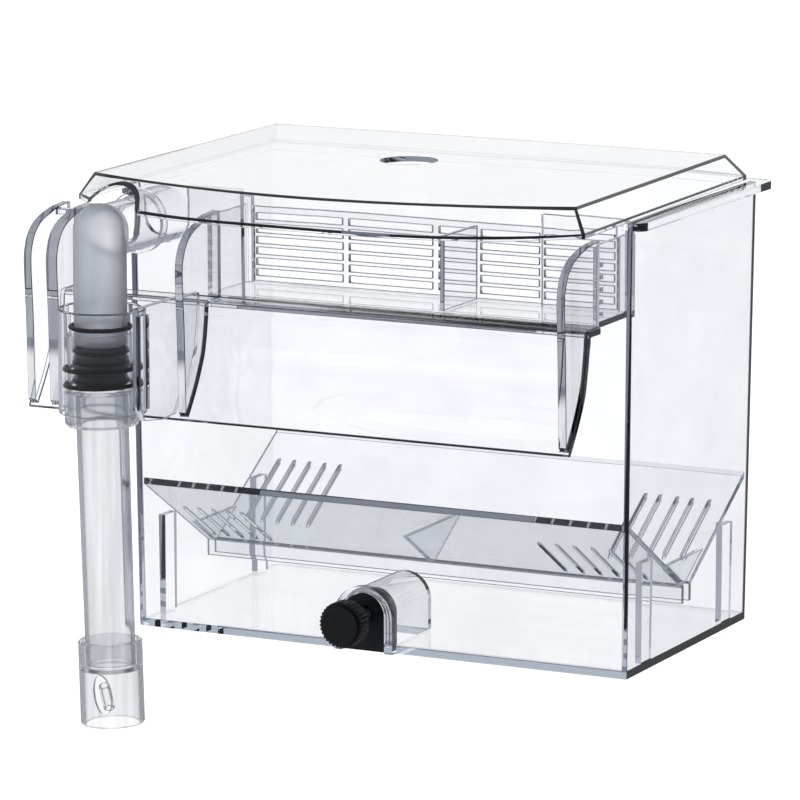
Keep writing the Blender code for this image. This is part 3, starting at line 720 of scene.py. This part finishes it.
RIBS = (-134.6, -103.6, -74.0, -60.4, -39.4, -16.0)
grille = block("grille", BASKET_L + 3.8, BASKET_R - 3.8, 26.2, 27.6, BASKET_Z + 1.9, 124.2)
slots = []
for a, b in zip(RIBS, RIBS[1:]):
    for i in range(6):
        z = 103.9 + 3.25 * i
        slots.append((a + 1.2, b - 1.2, 24.0, 30.0, z, z + 1.9))
cut(grille, merged_blocks("grille_slots", slots))
shown(grille, ["strainer_grille"], "strainer", TRAY, soften=0.2, rim=TRAY_PAINTED_EDGE_SHADE)

divider = block("divider", -61.3, -59.9, 3.0, 25.8, BASKET_Z + 1.8, 123.4)
shown(divider, ["strainer_divider"], "strainer", TRAY, soften=0.25, rim=TRAY_PAINTED_EDGE_SHADE)


# ---------------------------------------------------------------- fry tray

def tray_height(y):
    depth = y if y < MID_Y else DEPTH - y
    return TRAY_TOP - (depth - TRAY_Y0) * TRAY_FALL


SLIT = 1.8
TRAY_L, TRAY_R = -158.7, -2.3


def tray_panel(name, node_name, mirror, slot_starts):
    edge = MID_Y - SLIT
    profile = [
        (TRAY_Y0, TRAY_TOP), (TRAY_Y0, TRAY_TOP - 2.0), (edge - 1.6, tray_height(edge - 1.6) - 2.0),
        (edge - 1.6, 13.0), (edge, 13.0), (edge, tray_height(edge)),
    ]
    if mirror:
        profile = [(DEPTH - y, z) for y, z in reversed(profile)]
    panel = sheet(name, [profile], "X", TRAY_L, TRAY_R)
    y0, y1 = (55.4, 77.0) if mirror else (18.5, 37.9)
    for number, x in enumerate(slot_starts):
        cut(panel, sheet(f"{name}_slot_{number}", [rounded(x - 0.55, x + 0.55, y0, y1, 0.54, 5)], "Z", 10.0, 50.0, True))
    return shown(panel, [node_name], "tray", TRAY, soften=0.25, rim=TRAY_PAINTED_EDGE_SHADE)


tray_panel("tray_front", "tray_panel_front", False, [-153.8, -149.0, -144.1, -139.2, -134.4, -36.0, -30.3, -24.6, -18.9, -13.2])
tray_panel("tray_back", "tray_panel_back", True, [-151.9, -146.6, -141.3, -136.0, -130.7, -29.5, -24.7, -19.0, -14.1, -8.5])


def gusset(name, node_name, x, reach):
    gap = 0.45
    low = MID_Y - 1.0
    outline = [
        (MID_Y - reach, tray_height(MID_Y - reach) + gap),
        (low, tray_height(low) + gap),
        (MID_Y + 1.0, tray_height(low) + gap),
        (MID_Y + reach, tray_height(MID_Y - reach) + gap),
    ]
    piece = sheet(name, [outline], "X", x - 0.8, x + 0.8)
    return shown(piece, [node_name], "tray", TRAY, soften=0.2, rim=TRAY_PAINTED_EDGE_SHADE)


gusset("gusset_left", "tray_gusset_left", -157.6, 13.5)
gusset("gusset_mid", "tray_gusset_mid", -83.4, 19.2)
gusset("gusset_right", "tray_gusset_right", -3.4, 13.5)


# ---------------------------------------------------------------- levelling screw

nut = sheet("nut", [arch(KNOB_X, -0.3, KNOB_Z, 6.6)], "Y", -1.8, 6.0)
cut(nut, sheet("nut_bore", [disc(KNOB_X, KNOB_Z, 2.85, 64)], "Y", -9.0, 9.0, True))
shown(nut, ["levelling_nut"], "tank", BLACK, soften=0.4)

TEETH = 34
knurl = []
for i in range(TEETH):
    for share, r in ((0.0, 6.5), (0.1, 6.62), (0.22, 6.84), (0.34, 6.9), (0.56, 6.9), (0.68, 6.84), (0.8, 6.62), (0.9, 6.5)):
        a = 2 * math.pi * (i + share) / TEETH
        knurl.append((KNOB_X + r * math.cos(a), KNOB_Z + r * math.sin(a)))
knob = sheet("knob", [knurl], "Y", -17.2, -12.4)
join(
    knob,
    sheet("knob_face", [disc(KNOB_X, KNOB_Z, 6.1, 72)], "Y", -17.6, -15.0, True),
    sheet("knob_hub", [disc(KNOB_X, KNOB_Z, 4.6, 64)], "Y", -13.0, -9.2, True),
)
cut(
    knob,
    sheet("knob_dish", [disc(KNOB_X, KNOB_Z, 5.3, 72), disc(KNOB_X, KNOB_Z, 3.4, 72)], "Y", -20.0, -17.2, True),
)
shown(knob, ["levelling_knob"], "leveller", BLACK, soften=0.22)


def threaded(name, radius, root, pitch, length, where):
    """Screw shank along -Z of its own axis, with a real helical thread."""
    per = 40
    bm = bmesh.new()
    grid = []
    layers = int(length / pitch * 6)
    for j in range(layers + 1):
        z = length * j / layers
        row = []
        for i in range(per):
            a = 2 * math.pi * i / per
            phase = (z / pitch - i / per) % 1.0
            crest = abs(phase - 0.5) * 2
            taper = min(1.0, z / 0.6, (length - z) / 0.6)
            r = root + (radius - root) * max(0.0, min(1.0, 1.5 * crest - 0.25)) * max(0.0, taper)
            row.append(bm.verts.new((r * MM * math.cos(a), r * MM * math.sin(a), z * MM)))
        grid.append(row)
    for lower, upper in zip(grid, grid[1:]):
        for i in range(per):
            j = (i + 1) % per
            bm.faces.new((lower[i], lower[j], upper[j], upper[i]))
    bm.faces.new(list(reversed(grid[0])))
    bm.faces.new(grid[-1])
    bmesh.ops.recalc_face_normals(bm, faces=bm.faces)
    mesh = bpy.data.meshes.new(name)
    bm.to_mesh(mesh)
    bm.free()
    obj = new_object(name, mesh, where)
    obj.rotation_euler = (math.radians(90), 0, 0)
    return obj


screw = threaded("screw", 2.45, 1.95, 1.5, 20.6, spot(KNOB_X, 11.8, KNOB_Z))
shown(screw, ["levelling_screw"], "leveller", BLACK, smooth=50.0)

pad = turned("pad", softened([(0.0, 0.9), (5.4, 0.9), (5.9, 0.5), (5.9, 0.0), (0.0, 0.0)], 0.2), (0, 0, 0), 72)
pad.rotation_euler = (math.radians(90), 0, 0)
pad.location = spot(KNOB_X, -17.9, KNOB_Z)
shown(pad, ["levelling_pad"], "pad", RUBBER)


# ---------------------------------------------------------------- outflow pipe

SPIGOT_R = 6.6


def domed(radius, low):
    """Profile of an upright bar with a round top, for turned()."""
    top = [(radius * math.sin(math.pi / 2 * i / 24), DOME_Z + radius * math.cos(math.pi / 2 * i / 24)) for i in range(25)]
    return [(0.0, top[0][1])] + top[1:] + [(radius, low), (0.0, low)]


elbow = turned("elbow", domed(PIPE_R, 92.6), spot(PIPE_X, RISER_Y, 0), 96)
join(elbow, pipe("spigot", [(PIPE_X, RISER_Y, 97.0), (PIPE_X, RISER_Y, 84.0)], SPIGOT_R, 72, True))
cut(
    elbow,
    turned("drop_bore", domed(6.4, 96.0), spot(PIPE_X, RISER_Y, 0), 84, True),
    pipe("elbow_bore", [(PIPE_X, RISER_Y + 1.3, PIPE_Z), (PIPE_X, 6.0, PIPE_Z)], 6.2, 78, True),
    pipe("spigot_bore", [(PIPE_X, RISER_Y, 98.0), (PIPE_X, RISER_Y, 80.0)], 5.3, 72, True),
)
shown(elbow, ["elbow_pipe"], "tank", MILKY, soften=0.25)

mouth = pipe("elbow_run", [(PIPE_X, RISER_Y + 1.0, PIPE_Z), (PIPE_X, 0.8, PIPE_Z)], PIPE_R + 0.07, 96)
cut(
    mouth,
    turned("run_seat", domed(PIPE_R + 0.08, 96.0), spot(PIPE_X, RISER_Y, 0), 90, True),
    pipe("run_bore", [(PIPE_X, RISER_Y, PIPE_Z), (PIPE_X, 6.0, PIPE_Z)], 6.25, 84, True),
)
shown(mouth, [], "tank", MOUTH)

seal = sheet("seal", [disc(PIPE_X, PIPE_Z, 9.1, 96), disc(PIPE_X, PIPE_Z, PIPE_R + 0.3, 96)], "Y", -18.4, -15.6)
shown(seal, ["elbow_seal"], "tank", CLEAR, soften=0.3)

shown(ring("elbow_o_ring", 8.75, 0.65, spot(PIPE_X, RISER_Y, 97.4)), ["elbow_ring"], "tank", RUBBER, smooth=180)

ribs = [(7.6, 92.0)]
for i in range(4):
    z = 90.6 - 3.0 * i
    ribs += [(8.05, z + 0.9), (8.05, z - 0.5), (7.5, z - 0.9)]
ribs += [(7.5, 79.8), (6.95, 79.8), (6.95, 92.0)]
coupler = turned("coupler", softened(ribs, 0.25), spot(PIPE_X, RISER_Y, 0), 96)
shown(coupler, ["coupler_sleeve"], "tank", SMOKE, smooth=50)
for number, z in enumerate((90.5, 87.3, 82.0)):
    shown(ring(f"coupler_band_{number}", 7.95, 0.42, spot(PIPE_X, RISER_Y, z)), [], "tank", RUBBER, smooth=180)


# ---------------------------------------------------------------- riser

RISER = Matrix.Translation(spot(PIPE_X, RISER_Y, 80.0)) @ Matrix.Rotation(TILT, 4, "Y")


def on_riser(obj, local=Matrix.Identity(4)):
    obj.matrix_world = RISER @ local
    return obj


collar = turned("collar", softened(
    [(9.6, 15.6), (9.6, -0.9), (10.9, -1.3), (10.9, -10.6), (10.3, -11.6), (8.05, -11.6), (8.05, -1.7), (8.75, -1.0), (8.75, 15.6)], 0.35), (0, 0, 0))
shown(on_riser(collar), ["tube_collar"], "riser", COLLAR, smooth=50)
tube = turned("riser_tube", softened([(7.7, -2.2), (7.3, -82.6), (6.1, -82.6), (6.3, -2.2)], 0.3), (0, 0, 0))
shown(on_riser(tube), ["lift_tube"], "riser", TUBE, smooth=50)
upper = ring("collar_o_ring_upper", 10.45, 0.65, (0, 0, 0))
shown(on_riser(upper, Matrix.Translation((0, 0, 5.4 * MM))), ["collar_ring_upper"], "riser", RUBBER, smooth=180)
lower = ring("collar_o_ring_lower", 10.45, 0.65, (0, 0, 0))
shown(on_riser(lower, Matrix.Translation((0, 0, 0.6 * MM))), ["collar_ring_lower"], "riser", RUBBER, smooth=180)

foot = turned("foot", softened(
    [(9.0, -75.5), (9.4, -76.0), (9.4, -99.9), (9.0, -100.5), (7.9, -100.5), (7.9, -84.4), (6.4, -83.4), (6.4, -83.1), (7.7, -83.1), (7.7, -75.5)], 0.25), (0, 0, 0))
PORT_TURN = math.radians(11)
port = bpy.data.objects.new("air_port", bpy.data.meshes.new("air_port"))
HELPERS.objects.link(port)
bm = bmesh.new()
bmesh.ops.create_cone(bm, cap_ends=True, segments=64, radius1=2.6 * MM, radius2=2.6 * MM, depth=8 * MM)
bmesh.ops.scale(bm, vec=Vector((1.0, 2.3, 1.0)), verts=bm.verts)
bm.to_mesh(port.data)
bm.free()
on_riser(port, Matrix.LocRotScale(
    Vector((8.6 * MM * math.sin(PORT_TURN), -8.6 * MM * math.cos(PORT_TURN), -90.4 * MM)),
    Matrix.Rotation(PORT_TURN, 3, "Z") @ Matrix.Rotation(math.radians(-7), 3, "Y") @ Matrix.Rotation(math.radians(90), 3, "X"), None))
on_riser(foot)
cut(foot, port)
shown(foot, ["intake_foot"], "foot", FOOT, soften=0.2)

nipple = turned("nipple", softened([(1.6, 3.4), (1.7, 3.0), (1.7, -5.0), (0.9, -5.0), (0.9, 3.4)], 0.15), (0, 0, 0), 48)
on_riser(nipple, Matrix.LocRotScale(
    Vector((5.2 * MM * math.sin(PORT_TURN), -5.2 * MM * math.cos(PORT_TURN), -91.0 * MM)),
    Matrix.Rotation(PORT_TURN, 3, "Z") @ Matrix.Rotation(math.radians(28), 3, "X"), None))
shown(nipple, ["air_nipple"], "foot", COLLAR, smooth=50)

clear_helpers()


# ---------------------------------------------------------------- studio

def white_floor():
    mat, tree, bsdf, out = start("paper_sweep")
    coord = node(tree, "ShaderNodeTexCoord", (-900, 0))
    fibre = node(tree, "ShaderNodeTexNoise", (-700, 0), Scale=40.0, Detail=3.0)
    tree.links.new(coord.outputs["Object"], fibre.inputs["Vector"])
    shade = ramp(tree, [(0.3, (0.17, 0.17, 0.175)), (0.7, (0.20, 0.20, 0.205))], (-450, 0))
    tree.links.new(fibre.outputs["Fac"], shade.inputs["Fac"])
    tree.links.new(shade.outputs["Color"], bsdf.inputs["Base Color"])
    bsdf.inputs["Roughness"].default_value = 0.9
    bsdf.inputs["Specular IOR Level"].default_value = 0.0
    path = tree.nodes.new("ShaderNodeLightPath")
    flag = ramp(tree, [(0.0, (1.0, 1.0, 1.0)), (1.0, (0.26, 0.275, 0.31))], (-450, -300))
    tree.links.new(path.outputs["Glossy Depth"], flag.inputs["Fac"])
    tree.links.new(flag.outputs["Color"], bsdf.inputs["Emission Color"])
    bsdf.inputs["Emission Strength"].default_value = 1.08
    return mat


bm = bmesh.new()
bmesh.ops.create_circle(bm, cap_ends=True, segments=96, radius=6.0)
mesh = bpy.data.meshes.new("floor")
bm.to_mesh(mesh)
bm.free()
floor = bpy.data.objects.new("floor", mesh)
SCENE.collection.objects.link(floor)
floor.location = (0.0, 0.0, CAD_BOX[0][2] - 0.0004)
mesh.materials.append(white_floor())

world = bpy.data.worlds.new("studio")
SCENE.world = world
world.use_nodes = True
tree = world.node_tree
background = tree.nodes["Background"]
coord = node(tree, "ShaderNodeTexCoord", (-900, 0))
split = node(tree, "ShaderNodeSeparateXYZ", (-700, 0))
tree.links.new(coord.outputs["Generated"], split.inputs["Vector"])
tones = ramp(tree, [
    (0.0, (1.0, 1.0, 1.0)), (0.53, (1.0, 1.0, 1.0)), (0.66, (0.50, 0.53, 0.60)), (0.80, (0.40, 0.43, 0.50)),
    (0.94, (0.62, 0.65, 0.72)), (1.0, (0.8, 0.82, 0.86)),
], (-450, 0))
mirrored = ramp(tree, [
    (0.0, (0.22, 0.235, 0.27)), (0.515, (0.24, 0.255, 0.29)), (0.55, (1.0, 1.0, 1.0)), (0.66, (0.95, 0.96, 0.98)),
    (0.74, (0.30, 0.32, 0.36)), (1.0, (0.7, 0.72, 0.76)),
], (-450, -250))
remap = node(tree, "ShaderNodeMapRange", (-600, 0))
remap.inputs["From Min"].default_value = -1.0
remap.inputs["From Max"].default_value = 1.0
tree.links.new(split.outputs["Z"], remap.inputs["Value"])
path = tree.nodes.new("ShaderNodeLightPath")
flagged = tree.nodes.new("ShaderNodeMix")
flagged.data_type = "RGBA"
for tones_of in (tones, mirrored):
    tree.links.new(remap.outputs["Result"], tones_of.inputs["Fac"])
tree.links.new(path.outputs["Glossy Depth"], flagged.inputs["Factor"])
tree.links.new(tones.outputs["Color"], flagged.inputs[6])
tree.links.new(mirrored.outputs["Color"], flagged.inputs[7])
tree.links.new(flagged.outputs[2], background.inputs["Color"])
background.inputs["Strength"].default_value = 1.0


def softbox(name, where, aim, size, power):
    light = bpy.data.lights.new(name, "AREA")
    light.shape = "RECTANGLE"
    light.size, light.size_y = size
    light.energy = power
    obj = bpy.data.objects.new(name, light)
    SCENE.collection.objects.link(obj)
    obj.location = where
    obj.rotation_euler = (Vector(aim) - Vector(where)).to_track_quat("-Z", "Y").to_euler()
    obj.visible_glossy = False
    return obj


softbox("key", (-0.9, -1.1, 1.1), (0, 0, 0), (1.7, 1.7), 9.0)
softbox("fill", (1.3, 0.2, 0.9), (0, 0, 0), (1.2, 1.5), 5.0)

SCENE.view_settings.view_transform = "Standard"
SCENE.view_settings.look = "None"
SCENE.cycles.max_bounces = 32
SCENE.cycles.transmission_bounces = 28
SCENE.cycles.glossy_bounces = 12
SCENE.cycles.diffuse_bounces = 4
SCENE.cycles.transparent_max_bounces = 24
SCENE.cycles.use_denoising = True

bpy.context.view_layer.update()
